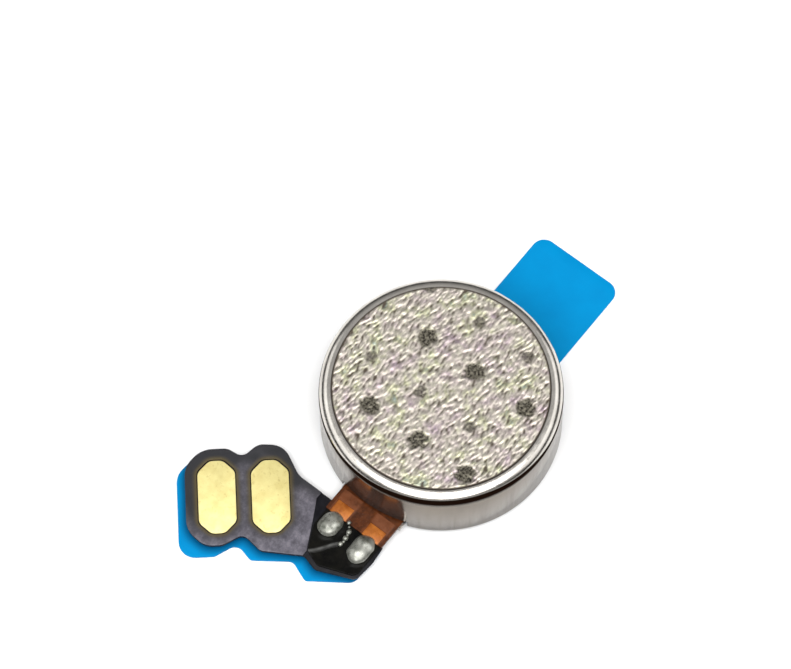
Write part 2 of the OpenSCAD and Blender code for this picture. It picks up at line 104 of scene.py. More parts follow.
def soften(piece, width, segments=2, angle=40):
    modify(piece, "BEVEL", width=width, segments=segments, limit_method="ANGLE",
           angle_limit=math.radians(angle), use_clamp_overlap=True)
    shapeIt(piece)
    bpy.ops.mesh.dissolve_degenerate(threshold=0.0002)
    bpy.ops.object.mode_set(mode="OBJECT")


def cutGrid(piece, step, axes=(0, 1)):
    shapeIt(piece)
    for axis in axes:
        places = [v.co[axis] for v in bmesh.from_edit_mesh(piece.data).verts]
        low, high = min(places), max(places)
        count = max(1, round((high - low) / step))
        across = Vector((axis == 0, axis == 1, 0))
        for i in range(1, count):
            bpy.ops.mesh.select_all(action="SELECT")
            bpy.ops.mesh.bisect(plane_co=across * (low + (high - low) * i / count),
                                plane_no=across)
    bpy.ops.object.mode_set(mode="OBJECT")


def copyOfNode(nodeName, name):
    piece = bpy.data.objects.new(name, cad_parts[nodeName].data.copy())
    bpy.context.collection.objects.link(piece)
    piece.data.materials.clear()
    piece.scale = (perMetre,) * 3
    useOnly(piece)
    bpy.ops.object.transform_apply(location=False, rotation=False, scale=True)
    bpy.ops.mesh.customdata_custom_splitnormals_clear()
    shapeIt(piece)
    bpy.ops.mesh.remove_doubles(threshold=0.0005)
    bpy.ops.mesh.dissolve_limited(angle_limit=math.radians(0.3))
    bpy.ops.object.mode_set(mode="OBJECT")
    return piece


def outlineOf(nodeName):
    # The top face's outline of a CAD plate, as pairs of points
    flat = copyOfNode(nodeName, "outline")
    top = max(v.co.z for v in flat.data.vertices)
    shape = bmesh.new()
    shape.from_mesh(flat.data)
    pairs = []
    for edge in shape.edges:
        if all(v.co.z > top - 0.002 for v in edge.verts):
            if any(abs(f.normal.z) < 0.5 for f in edge.link_faces):
                pairs.append([v.co.xy.copy() for v in edge.verts])
    shape.free()
    bpy.data.objects.remove(flat)
    return pairs


def outlineGap(point, pairs):
    least = 1e9
    for a, b in pairs:
        along = b - a
        share = max(0, min(1, (point - a).dot(along) / max(along.length_squared, 1e-12)))
        least = min(least, (point - a - along * share).length)
    return least


def driftAt(x, y, z):
    # Three noise values far enough apart to be unlike each other
    return Vector([noise.noise(Vector((x + 31 * i, y + 17 * i, z))) for i in range(3)])


def stepUp(value, low, high):
    share = max(0, min(1, (value - low) / (high - low)))
    return share * share * (3 - 2 * share)


def finishPiece(piece, material, replaced, body=None, smoothAngle=35):
    useOnly(piece)
    piece.scale = (1 / perMetre,) * 3
    bpy.ops.object.transform_apply(location=True, rotation=True, scale=True)
    bpy.ops.object.shade_smooth_by_angle(angle=math.radians(smoothAngle))
    piece.data.materials.clear()
    piece.data.materials.append(material)
    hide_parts(*replaced)
    if body:
        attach(piece, body)
    return piece


# Materials: every pattern is laid out in millimetres on Object coordinates
def addNode(tree, kind, inputs=None, **settings):
    made = tree.nodes.new(kind)
    for key, value in settings.items():
        setattr(made, key, value)
    for key, value in (inputs or {}).items():
        if isinstance(value, bpy.types.NodeSocket):
            tree.links.new(value, made.inputs[key])
        else:
            made.inputs[key].default_value = value
    return made


def newMaterial(name, sockets):
    material = bpy.data.materials.new(name)
    material.use_nodes = True
    tree = material.node_tree
    tree.nodes.clear()
    shader = addNode(tree, "ShaderNodeBsdfPrincipled", sockets)
    output = addNode(tree, "ShaderNodeOutputMaterial")
    tree.links.new(shader.outputs["BSDF"], output.inputs["Surface"])
    return material, tree, shader


def whereOn(tree):
    return addNode(tree, "ShaderNodeTexCoord").outputs["Object"]


def grain(tree, size, detail=3, stretch=(1, 1, 1), roughness=0.55):
    place = addNode(tree, "ShaderNodeMapping", {
        "Vector": whereOn(tree), "Scale": [perMetre * share for share in stretch]})
    return addNode(tree, "ShaderNodeTexNoise", {
        "Vector": place.outputs["Vector"], "Scale": 1 / size, "Detail": detail,
        "Roughness": roughness}).outputs["Fac"]


def ramp(tree, factor, stops):
    made = addNode(tree, "ShaderNodeValToRGB", {"Fac": factor})
    band = made.color_ramp
    while len(band.elements) < len(stops):
        band.elements.new(0.5)
    for element, (at, colour) in zip(band.elements, stops):
        element.position = at
        element.color = (*colour, 1) if hasattr(colour, "__len__") else (colour,) * 3 + (1,)
    return made.outputs["Color"]


def between(tree, factor, low, high):
    made = addNode(tree, "ShaderNodeMapRange", {
        "Value": factor, "From Min": 0.3, "From Max": 0.7, "To Min": low, "To Max": high})
    return made.outputs["Result"]


def mixColours(tree, factor, a, b, blend="MIX"):
    made = addNode(tree, "ShaderNodeMix", data_type="RGBA", blend_type=blend)
    for index, value in ((0, factor), (6, a), (7, b)):
        if isinstance(value, bpy.types.NodeSocket):
            tree.links.new(value, made.inputs[index])
        else:
            made.inputs[index].default_value = value
    return made.outputs[2]


def attributeOf(tree, name):
    return addNode(tree, "ShaderNodeAttribute", attribute_name=name).outputs["Fac"]


def raiseBy(tree, shader, height, distance):
    bump = addNode(tree, "ShaderNodeBump", {
        "Height": height, "Distance": distance / perMetre, "Strength": 1.0})
    tree.links.new(bump.outputs["Normal"], shader.inputs["Normal"])


def plainFinish(name, look):
    # A two-tone mottled finish: colours, grain size, roughness range and surface relief
    material, tree, shader = newMaterial(name, {
        "Metallic": look.get("metallic", 0), "IOR": 1.5,
        "Specular IOR Level": look.get("gloss", 0.5), "Coat Weight": look.get("coat", 0),
        "Coat Roughness": 0.1})
    stretch = look.get("stretch", (1, 1, 1))
    mottle = grain(tree, look["grain"], 4, stretch)
    colour = ramp(tree, mottle, ((0.3, look["dark"]), (0.7, look["light"])))
    tree.links.new(colour, shader.inputs["Base Color"])
    fine = grain(tree, look["fine"], 3, stretch)
    tree.links.new(between(tree, fine, *look["roughness"]), shader.inputs["Roughness"])
    raiseBy(tree, shader, fine, look["relief"])
    return material


def tintOver(material, share, tint):
    # Mixes a second colour over a finish; share makes the mask from the node tree
    tree = material.node_tree
    shader = next(n for n in tree.nodes if n.type == "BSDF_PRINCIPLED")
    colour = shader.inputs["Base Color"].links[0].from_socket
    tree.links.new(mixColours(tree, share(tree), colour, (*tint, 1)),
                   shader.inputs["Base Color"])
    return material


# Camera, floor and lights
viewSettings = {
    "turn": 52,  # degrees from +X to the picture's right
    "elevation": 67.5,
    "distance": 0.2,
    "lens": 220.2,
    "aimLeft": 0.001885,
    "aimUp": 0.00351,
}


def addCamera(settings):
    turn, lift = math.radians(settings["turn"]), math.radians(settings["elevation"])
    right = Vector((math.cos(turn), -math.sin(turn), 0))
    back = Vector((-math.sin(turn) * math.cos(lift), -math.cos(turn) * math.cos(lift),
                   math.sin(lift)))
    up = back.cross(right)
    camera = bpy.data.objects.new("camera", bpy.data.cameras.new("camera"))
    bpy.context.collection.objects.link(camera)
    camera.data.lens = settings["lens"]
    camera.data.sensor_width = 36
    camera.data.clip_start = 0.001
    camera.location = back * settings["distance"]
    aim = up * settings["aimUp"] - right * settings["aimLeft"] - camera.location
    level = Matrix((right, up, back)).transposed()
    camera.rotation_mode = "QUATERNION"
    camera.rotation_quaternion = (-back).rotation_difference(aim) @ level.to_quaternion()
    bpy.context.scene.camera = camera


lightSettings = {
    "boxSize": 0.5,
    "boxDistance": 0.4,
    "boxTilt": 22,  # degrees from straight up towards the camera
    "boxPower": 2.2,
    "stripSize": (0.5, 0.22),
    "stripDistance": 0.4,
    "stripTurn": 100,  # degrees round from the camera, to both sides
    "stripTilt": 48,
    "stripPower": 0.42,
    "skyLow": 0.07,
    "skyHigh": 0.5,
}


def addSoftbox(name, around, tilt, distance, power, shape, size):
    # around is counted from the camera's side, tilt from straight up, both in degrees
    turn, lean = math.radians(viewSettings["turn"] + around), math.radians(tilt)
    towards = Vector((-math.sin(turn) * math.sin(lean), -math.cos(turn) * math.sin(lean),
                      math.cos(lean)))
    softbox = bpy.data.objects.new(name, bpy.data.lights.new(name, "AREA"))
    bpy.context.collection.objects.link(softbox)
    softbox.data.shape = shape
    softbox.data.size, softbox.data.size_y = size
    softbox.data.energy = power
    softbox.location = towards * distance
    softbox.rotation_euler = (-towards).to_track_quat("-Z", "Y").to_euler()


def addLights(settings):
    addSoftbox("softbox", 0, settings["boxTilt"], settings["boxDistance"], settings["boxPower"],
               "DISK", (settings["boxSize"], settings["boxSize"]))
    for name, side in (("leftStrip", 1), ("rightStrip", -1)):
        addSoftbox(name, side * settings["stripTurn"], settings["stripTilt"],
                   settings["stripDistance"], settings["stripPower"], "RECTANGLE",
                   settings["stripSize"])
    world = bpy.data.worlds.new("studio")
    bpy.context.scene.world = world
    world.use_nodes = True
    tree = world.node_tree
    tree.nodes.clear()
    height = addNode(tree, "ShaderNodeSeparateXYZ", {"Vector": whereOn(tree)}).outputs["Z"]
    sky = ramp(tree, height, ((0.0, settings["skyLow"]), (0.3, settings["skyLow"]),
                              (0.8, settings["skyHigh"])))
    background = addNode(tree, "ShaderNodeBackground", {"Color": sky})
    output = addNode(tree, "ShaderNodeOutputWorld")
    tree.links.new(background.outputs["Background"], output.inputs["Surface"])


floorSettings = {"size": 1.5, "drop": 0.00001}


def addFloor(settings):
    bpy.ops.mesh.primitive_plane_add(size=settings["size"], location=(0, 0, -settings["drop"]))
    floor = named("floor")
    material, tree, shader = newMaterial("paleFloor", {"Roughness": 0.9})
    tint = ramp(tree, grain(tree, 8), ((0.3, 0.9), (0.7, 0.93)))
    tree.links.new(tint, shader.inputs["Base Color"])
    floor.data.materials.append(material)


addCamera(viewSettings)
addLights(lightSettings)
addFloor(floorSettings)
bpy.context.scene.view_settings.view_transform = "Standard"
print("camera, lights and floor ready")


# Case: a drawn cup with a rolled shoulder, open below, notched for the neck
caseSettings = {
    "sides": 224,
    "shoulder": 0.45,
    "shoulderSteps": 12,
    "wall": 0.2,
    "lip": 0.03,
    "notchTop": 0.62,
    "notchSide": 0.16,  # how far the notch is wider than the neck, on each side
    "seatRadius": 0.43,
    "seatDepth": 0.1,
    "cutterAt": 0.8,  # the notch's cutter stands at this share of the radius
    "cutterLength": 0.6,
    "cutterHeight": 2,
    "steel": (0.52, 0.49, 0.45),
    "steelLight": (0.66, 0.63, 0.58),
    "wallPaintedShade": (0.26, 0.225, 0.185),  # painted shade: the wall's colour is darkened to stand in for the duller reflection it shows
    # painted shade: a near-black band under the rolled shoulder stands in for the dark
    # surroundings it reflects
    "shoulderShadow": (0.008, 0.0035, 0.002),
    "shoulderShadowFrom": 2.74,
    "shoulderShadowTo": 3.08,
    "shoulderShadowSide": (-0.788, -0.616),  # the painted shade band reaches higher on this side, towards the camera
    "shoulderShadowRise": 0.17,
    "shoulderShadowSideFrom": 2.2,  # measured from the case's axis towards that side
    "shoulderShadowSideTo": 4.6,
    "seamFrom": 4.44,  # painted shadow round the pad, in the gap at its edge
    "seamTo": 4.56,
    "seamAbove": 3.3,
}


def steelFinish(settings):
    material, tree, shader = newMaterial("caseSteel", {"Specular IOR Level": 0.0})
    blotch = grain(tree, 0.9, 5, (1, 1, 0.6))
    streaks = grain(tree, 0.16, 3, (1, 1, 0.06))
    colour = ramp(tree, blotch, ((0.3, settings["steel"]), (0.7, settings["steelLight"])))
    where = whereOn(tree)
    height = addNode(tree, "ShaderNodeSeparateXYZ", {"Vector": where}).outputs["Z"]
    # how far a point lies towards the camera; the painted shade band rises there
    facing = addNode(tree, "ShaderNodeVectorMath", {
        0: where, 1: (*settings["shoulderShadowSide"], 0)}, operation="DOT_PRODUCT").outputs["Value"]
    top = addNode(tree, "ShaderNodeMapRange", {
        "Value": facing, "From Min": settings["shoulderShadowSideFrom"] / perMetre,
        "From Max": settings["shoulderShadowSideTo"] / perMetre,
        "To Min": settings["shoulderShadowTo"] / perMetre,
        "To Max": (settings["shoulderShadowTo"] + settings["shoulderShadowRise"]) / perMetre}).outputs["Result"]
    share = addNode(tree, "ShaderNodeMapRange", {
        "Value": height, "From Min": settings["shoulderShadowFrom"] / perMetre,
        "From Max": top}).outputs["Result"]
    # painted shade: the wall darkens below the shoulder
    below = ramp(tree, share, ((0.0, settings["wallPaintedShade"]), (0.6, (1.0, 1.0, 1.0))))
    shaded = mixColours(tree, 1.0, colour, below, "MULTIPLY")
    # painted shade: the near-black band just under the shoulder
    band = ramp(tree, share, ((0.0, 0.0), (0.35, 0.8), (0.5, 1.0), (0.88, 1.0), (1.0, 0.0)))
    flat = addNode(tree, "ShaderNodeVectorMath", {0: where, 1: (1, 1, 0)}, operation="MULTIPLY")
    away = addNode(tree, "ShaderNodeVectorMath", {0: flat.outputs["Vector"]}, operation="LENGTH")
    # painted shadow: a dark ring on the case top round the pad
    ring = addNode(tree, "ShaderNodeMapRange", {
        "Value": away.outputs["Value"], "From Min": settings["seamFrom"] / perMetre,
        "From Max": settings["seamTo"] / perMetre}).outputs["Result"]
    seam = ramp(tree, ring, ((0.0, 0.95), (0.4, 0.95), (1.0, 0.0)))
    raised = addNode(tree, "ShaderNodeMath", {0: height, 1: settings["seamAbove"] / perMetre},
                     operation="GREATER_THAN").outputs["Value"]
    seamShadow = mixColours(tree, 1.0, seam, raised, "MULTIPLY")
    # where the painted shade band or ring lies, the steel turns near black and loses its metal
    paintedShade = mixColours(tree, 1.0, band, seamShadow, "LIGHTEN")
    tinted = mixColours(tree, paintedShade, shaded, (*settings["shoulderShadow"], 1))
    tree.links.new(tinted, shader.inputs["Base Color"])
    tree.links.new(ramp(tree, paintedShade, ((0.0, 1.0), (1.0, 0.0))), shader.inputs["Metallic"])
    tree.links.new(between(tree, streaks, 0.16, 0.26), shader.inputs["Roughness"])
    raiseBy(tree, shader, streaks, 0.0015)
    return material


def makeCase(settings):
    low, high = nodeBox("case")
    height = high.z - low.z
    bpy.ops.mesh.primitive_cylinder_add(
        vertices=settings["sides"], radius=high.x, depth=height,
        location=(0, 0, (high.z + low.z) / 2))
    case = named("caseShell")
    bpy.ops.object.transform_apply(location=True, rotation=False, scale=False)
    shapeIt(case)
    pick(case, "EDGE", lambda e: all(v.co.z > high.z - 0.01 for v in e.verts))
    bpy.ops.mesh.bevel(offset=settings["shoulder"], segments=settings["shoulderSteps"],
                       affect="EDGES")
    pick(case, "FACE", lambda f: f.normal.z < -0.9)
    bpy.ops.mesh.delete(type="FACE")
    modify(case, "SOLIDIFY", thickness=settings["wall"], offset=-1, use_even_offset=True)
    neckLow, neckHigh = nodeBox("neck_film")
    side = settings["notchSide"]
    bpy.ops.mesh.primitive_cube_add(size=1, location=(
        -high.x * settings["cutterAt"], (neckLow.y + neckHigh.y) / 2,
        settings["notchTop"] - settings["cutterHeight"] / 2))
    cutter = named("cutter")
    cutter.scale = (high.x * settings["cutterLength"], neckHigh.y - neckLow.y + 2 * side,
                    settings["cutterHeight"])
    bpy.ops.mesh.primitive_cylinder_add(
        vertices=48, radius=settings["seatRadius"], depth=1,
        location=(0, 0, high.z - settings["wall"] + settings["seatDepth"] - 0.5))
    seat = named("seatCutter")
    for tool in (cutter, seat):
        useOnly(tool)
        bpy.ops.object.transform_apply(location=True, rotation=True, scale=True)
        modify(case, "BOOLEAN", object=tool, operation="DIFFERENCE", solver="EXACT")
        bpy.data.objects.remove(tool)
    soften(case, settings["lip"], 2, 60)
    return finishPiece(case, steelFinish(settings), ["case"], "motor", 30)


makeCase(caseSettings)
print("case done")


# Conductive pad: crinkled metallised cloth with pressed bond dots
clothSettings = {
    "rim": 256,
    "span": 64,
    "edgeDrop": 0.045,
    "edgeWidth": 0.09,
    "wrinkle": 0.045,  # full height of the wrinkles
    "wrinkleLength": 0.4,
    "wrinkleWidth": 0.135,
    "dots": [(-2.4, 1.8), (-2.4, -0.65), (-2.4, -3.1), (1.4, 1.8), (1.4, -0.65), (1.4, -3.27)],
    "smallDots": [(-0.65, 3.1), (-0.65, 0.54), (-0.65, -1.98), (3.25, 3.1), (3.25, 0.54),
                  (3.25, -1.98)],
    "dotRadius": 0.42,
    "smallDotRadius": 0.26,
    "dotDepth": 0.018,
    "smallDotWeight": 0.75,
    "dotFlattening": 0.45,
    "valleyFrom": 0.46,  # share of the wrinkle's height below which the cloth is painted dark, as shade in the creases
    "valleyGain": 2.6,
    # painted shade along the cloth's dropped rim
    "rimShade": 1.6,
    "leastThickness": 0.012,
}


def dotShare(x, y, settings):
    # 1 in the middle of a pressed dot, 0 away from them all
    most = 0
    for dots, radius, weight in ((settings["dots"], settings["dotRadius"], 1.0),
                                 (settings["smallDots"], settings["smallDotRadius"],
                                  settings["smallDotWeight"])):
        for dotX, dotY in dots:
            away = math.hypot(x - dotX, y - dotY)
            if away < radius * 1.6:
                ragged = 0.34 * noise.noise(Vector((x * 5, y * 5, 4)))
                share = 1 - (away / radius + ragged - 0.8) / 0.35
                most = max(most, weight * max(0, min(1, share)))
    return most


def wrinkleAt(x, y, settings):
    warp = driftAt(x * 1.3, y * 1.3, 1.5) * 0.16
    long, wide = settings["wrinkleLength"], settings["wrinkleWidth"]
    first = noise.noise(Vector(((x + warp.x) / long, (y + warp.y) / wide, 0)))
    second = noise.noise(Vector(((x + y * 0.35) / (long * 0.7), (y - x * 0.35) / (wide * 0.9), 7)))
    third = noise.noise(Vector((x / 0.2, y / 0.08, 3)))
    broad = noise.noise(Vector((x / 0.9, y / 0.5, 11)))
    return max(0, min(1, 0.5 + 0.52 * first + 0.4 * second + 0.3 * third + 0.15 * broad))


def clothFinish():
    material, tree, shader = newMaterial("clothSilver", {"Specular IOR Level": 0.2})
    tint = ramp(tree, grain(tree, 0.75, 3, roughness=0.65), (
        (0.28, (0.50, 0.40, 0.44)), (0.40, (0.58, 0.51, 0.47)), (0.54, (0.60, 0.56, 0.47)),
        (0.63, (0.54, 0.53, 0.36)), (0.74, (0.40, 0.46, 0.40))))
    fibre = grain(tree, 0.09, 3, (0.45, 1, 1))
    speck = ramp(tree, fibre, ((0.3, 0.68), (0.55, 1.0)))
    colour = mixColours(tree, 1.0, tint, speck, "MULTIPLY")
    # painted shade: the creases and the rim turn dark and lose their metal
    creaseShade = attributeOf(tree, "valleyShade")
    checks = grain(tree, 0.11, 2)
    dark = ramp(tree, checks, ((0.38, (0.02, 0.017, 0.013)), (0.68, (0.24, 0.22, 0.17))))
    shaded = mixColours(tree, creaseShade, colour, (0.07, 0.055, 0.04, 1))
    tinted = mixColours(tree, attributeOf(tree, "pressed"), shaded, dark)
    tree.links.new(ramp(tree, creaseShade, ((0.0, 0.88), (0.6, 0.75), (1.0, 0.1))),
                   shader.inputs["Metallic"])
    tree.links.new(tinted, shader.inputs["Base Color"])
    tree.links.new(between(tree, fibre, 0.3, 0.48), shader.inputs["Roughness"])
    raiseBy(tree, shader, fibre, 0.006)
    return material


def makeCloth(settings):
    low, high = nodeBox("conductive_pad")
    bpy.ops.mesh.primitive_circle_add(vertices=settings["rim"], radius=high.x,
                                      fill_type="NOTHING", location=(0, 0, high.z))
    cloth = named("padCloth")
    bpy.ops.object.transform_apply(location=True, rotation=False, scale=False)
    shapeIt(cloth)
    bpy.ops.mesh.fill_grid(span=settings["span"])
    bpy.ops.mesh.select_all(action="SELECT")
    bpy.ops.mesh.subdivide(number_cuts=3)
    bpy.ops.mesh.select_all(action="SELECT")
    bpy.ops.mesh.normals_make_consistent(inside=False)
    bpy.ops.object.mode_set(mode="OBJECT")
    if cloth.data.polygons[0].normal.z < 0:
        cloth.data.flip_normals()
    pressed = cloth.data.attributes.new("pressed", "FLOAT", "POINT")
    valleyShade = cloth.data.attributes.new("valleyShade", "FLOAT", "POINT")
    for i, vertex in enumerate(cloth.data.vertices):
        x, y = vertex.co.x, vertex.co.y
        inward = high.x - math.hypot(x, y)
        edge = max(0, 1 - inward / settings["edgeWidth"]) ** 2
        share = dotShare(x, y, settings)
        up = wrinkleAt(x, y, settings) * (1 - settings["dotFlattening"] * share)
        vertex.co.z = (high.z - settings["wrinkle"] * (1 - up) * (1 - edge)
                       - settings["dotDepth"] * share - settings["edgeDrop"] * edge)
        vertex.co.z = max(vertex.co.z, low.z + settings["leastThickness"])
        pressed.data[i].value = share
        # painted shade, deepest in the creases and at the rim
        depth = max(settings["valleyFrom"] - up, 0) * settings["valleyGain"]
        valleyShade.data[i].value = max(0, min(1, depth + edge * settings["rimShade"]))
    shapeIt(cloth)
    pick(cloth, "EDGE", lambda e: e.is_boundary)
    bpy.ops.mesh.extrude_region_move()
    bpy.ops.object.mode_set(mode="OBJECT")
    for vertex in cloth.data.vertices:
        if vertex.select:
            vertex.co.z = low.z
    shapeIt(cloth)
    pick(cloth, "EDGE", lambda e: e.is_boundary)
    bpy.ops.mesh.edge_face_add()
    bpy.ops.object.mode_set(mode="OBJECT")
    return finishPiece(cloth, clothFinish(), ["conductive_pad"], "motor", 60)


makeCloth(clothSettings)
print("conductive pad done")


# Release liners: thin film with softened edges
linerLook = {
    "dark": (0.0, 0.205, 0.47), "light": (0.0, 0.23, 0.51), "grain": 1.4, "fine": 0.12,
    "roughness": (0.36, 0.48), "relief": 0.0006, "gloss": 0.05,
}
linerSettings = {
    "edge": 0.018,
    "step": 0.1,
    "wideStep": 0.5,
    "shadeReach": 0.42,  # painted shadow: the film is darkened along the edge of the stiffener above it
    "shadowBlue": (0.0, 0.055, 0.15),
    "pieces": [("motorLinerFilm", "motor_liner", "motor_peel", 0.0),
               ("tailLinerFilm", "tail_liner", "tail_peel", 0.75)],
}


def makeLiners(settings):
    # the painted shadow is mixed over the blue; its strength is each piece's last number, none on
    # the motor's liner
    material = tintOver(plainFinish("linerBlue", linerLook),
                        lambda tree: attributeOf(tree, "near"), settings["shadowBlue"])
    edges = outlineOf("tail_stiffener")
    for pieceName, nodeName, bodyName, strength in settings["pieces"]:
        film = copyOfNode(nodeName, pieceName)
        soften(film, settings["edge"], 2)
        cutGrid(film, settings["step"] if strength else settings["wideStep"])
        near = film.data.attributes.new("near", "FLOAT", "POINT")
        for i, vertex in enumerate(film.data.vertices):
            gap = outlineGap(vertex.co.xy, edges) if strength else settings["shadeReach"]
            near.data[i].value = strength * (1 - stepUp(gap, 0, settings["shadeReach"]))
        finishPiece(film, material, [nodeName], bodyName)


makeLiners(linerSettings)
print("liners done")


# Tail: flex, stiffener, tape, cover film and contacts
tailSettings = {
    "edge": 0.014,
    "step": 0.09,
    "unevenness": 0.02,
    "linerGap": 0.002,  # the tape clears the liner it peels from
    "jointTo": 0.35,  # up to here flux has darkened the cover film
    "flex": {"dark": (0.004, 0.004, 0.006), "light": (0.012, 0.012, 0.015), "grain": 0.4,
             "fine": 0.05, "roughness": (0.3, 0.45), "relief": 0.002, "gloss": 0.12},
    "stiffener": {"dark": (0.01, 0.01, 0.012), "light": (0.03, 0.03, 0.034), "grain": 0.3,
                  "fine": 0.04, "roughness": (0.5, 0.7), "relief": 0.004},
    "tape": {"dark": (0.42, 0.41, 0.38), "light": (0.6, 0.59, 0.56), "grain": 0.3,
             "fine": 0.06, "roughness": (0.4, 0.6), "relief": 0.004},
}


def coverFinish():
    material, tree, shader = newMaterial("coverGrey", {"Specular IOR Level": 0.35})
    mottle = grain(tree, 0.3, 5, roughness=0.68)
    colour = ramp(tree, mottle, ((0.3, (0.05, 0.046, 0.058)), (0.5, (0.095, 0.088, 0.108)),
                                 (0.7, (0.17, 0.158, 0.185))))
    # painted shade near the windows and along the far-side outline, and the darker film by the lap
    darker = mixColours(tree, attributeOf(tree, "shadeAndJointDark"), colour, (0.012, 0.012, 0.015, 1))
    # brown border round the windows: partly adhesive squeeze-out, partly painted shade at their
    # edges
    bordered = mixColours(tree, attributeOf(tree, "squeezeOutAndShade"), darker, (0.07, 0.05, 0.012, 1))
    tree.links.new(bordered, shader.inputs["Base Color"])
    fine = grain(tree, 0.05, 3)
    tree.links.new(between(tree, fine, 0.38, 0.6), shader.inputs["Roughness"])
    raiseBy(tree, shader, fine, 0.006)
    return material


def makeTail(settings):
    for node, name, look, slot in (("tail_flex", "tailFlexFilm", "flex", "flex_black"),
                                   ("tail_stiffener", "tailStiffener", "stiffener", "stiffener"),
                                   ("tail_tape", "tailTape", "tape", "tape")):
        piece = copyOfNode(node, name)
        bottom = nodeBox(node)[0].z
        if node == "tail_tape":
            for vertex in piece.data.vertices:
                if vertex.co.z < bottom + 0.001:
                    vertex.co.z += settings["linerGap"]
        soften(piece, settings["edge"], 2)
        finishPiece(piece, plainFinish(look + "Finish", settings[look]), [node], "tail")
    windows = outlineOf("contact_outer") + outlineOf("contact_inner")
    rim = outlineOf("tail_flex")
    low, high = nodeBox("tail_cover")
    cover = copyOfNode("tail_cover", "tailCoverFilm")
    soften(cover, settings["edge"], 2)
    cutGrid(cover, settings["step"])
    shadeAndJointDark = cover.data.attributes.new("shadeAndJointDark", "FLOAT", "POINT")
    squeezeOutAndShade = cover.data.attributes.new("squeezeOutAndShade", "FLOAT", "POINT")
    middle = (low + high) / 2
    for i, vertex in enumerate(cover.data.vertices):
        gap = outlineGap(vertex.co.xy, windows)
        edge = outlineGap(vertex.co.xy, rim)
        # painted shade: the outline away from the camera is darker
        farSideShade = stepUp(vertex.co.x + vertex.co.y - middle.x - middle.y, -2.5, 1)
        squeezeOutAndShade.data[i].value = 0.9 * (1 - stepUp(gap, 0.05, 0.24))
        joint = 0.9 * (1 - stepUp(vertex.co.y, settings["jointTo"], settings["jointTo"] + 0.35))
        # painted shade within 0.6 mm of the windows and along the far-side outline, plus the
        # darker film by the lap
        shadeAndJointDark.data[i].value = min(1, 0.62 * (1 - stepUp(gap, 0.1, 0.6)) + joint
                                  + 0.95 * farSideShade * (1 - stepUp(edge, 0.1, 0.75)))
        if vertex.co.z > high.z - 0.01:
            lift = noise.noise(Vector((vertex.co.x * 1.4, vertex.co.y * 1.4, 2)))
            vertex.co.z += settings["unevenness"] * lift * stepUp(min(gap, edge), 0.05, 0.3)
    return finishPiece(cover, coverFinish(), ["tail_cover"], "tail")


makeTail(tailSettings)


contactSettings = {
    "edge": 0.02,
    "gold": {"dark": (0.72, 0.61, 0.24), "light": (0.84, 0.75, 0.33), "grain": 0.5, "fine": 0.05,
             "roughness": (0.34, 0.5), "relief": 0.003, "metallic": 0.5},
    "stain": (0.42, 0.30, 0.08),
    "pieces": [("contact_outer", "contactOuterPad"), ("contact_inner", "contactInnerPad")],
}


def stainMask(tree):
    return ramp(tree, grain(tree, 0.16, 4, roughness=0.7), ((0.58, 0.0), (0.74, 0.6)))


goldFinish = tintOver(plainFinish("contactGold", contactSettings["gold"]), stainMask,
                      contactSettings["stain"])
for nodeName, pieceName in contactSettings["pieces"]:
    contact = copyOfNode(nodeName, pieceName)
    soften(contact, contactSettings["edge"], 3)
    finishPiece(contact, goldFinish, [nodeName], "tail")
print("tail done")


# Neck and lap: base film, copper and cover film
neckSettings = {
    "step": 0.03,
    "edge": 0.008,
    "ridge": 0.01,  # how far the cover film stands up over a trace
    "amber": {"dark": (0.035, 0.009, 0.002), "light": (0.10, 0.026, 0.006), "grain": 0.22,
              "fine": 0.07, "roughness": (0.14, 0.28), "relief": 0.004, "gloss": 0.25},
    "overCopper": (0.17, 0.055, 0.022),
    "betweenTraces": 0.76,
    "trace": {"dark": (0.10, 0.028, 0.009), "light": (0.2, 0.06, 0.02), "grain": 0.2,
              "fine": 0.07, "roughness": (0.2, 0.35), "relief": 0.004, "metallic": 0.3},
    "land": {"dark": (0.26, 0.066, 0.008), "light": (0.5, 0.165, 0.028), "grain": 0.4,
             "fine": 0.12, "roughness": (0.25, 0.4), "relief": 0.002, "metallic": 0.2,
             "gloss": 0.3},
}


def copperMask(tree):
    patchy = ramp(tree, grain(tree, 0.3, 3), ((0.35, 0.35), (0.65, 0.9)))
    return mixColours(tree, 1.0, attributeOf(tree, "overTrace"), patchy, "MULTIPLY")


def raiseOverTraces(film, settings):
    # The film stands up a little over each copper trace
    traceLow, traceHigh = nodeBox("neck_traces")
    top = nodeBox("neck_cover")[1].z
    width = (traceHigh.y - traceLow.y - settings["betweenTraces"]) / 2
    over = film.data.attributes.new("overTrace", "FLOAT", "POINT")
    for i, vertex in enumerate(film.data.vertices):
        off = min(abs(vertex.co.y - traceLow.y - width / 2),
                  abs(vertex.co.y - traceHigh.y + width / 2))
        share = 1 - stepUp(off, width / 2 - 0.04, width / 2 + 0.06)
        over.data[i].value = share
        if vertex.co.z > top - 0.002:
            vertex.co.z += settings["ridge"] * share


amberFinish = tintOver(plainFinish("amberFilm", neckSettings["amber"]), copperMask,
                       neckSettings["overCopper"])
traceFinish = plainFinish("coatedCopper", neckSettings["trace"])
landFinish = plainFinish("bareLand", neckSettings["land"])


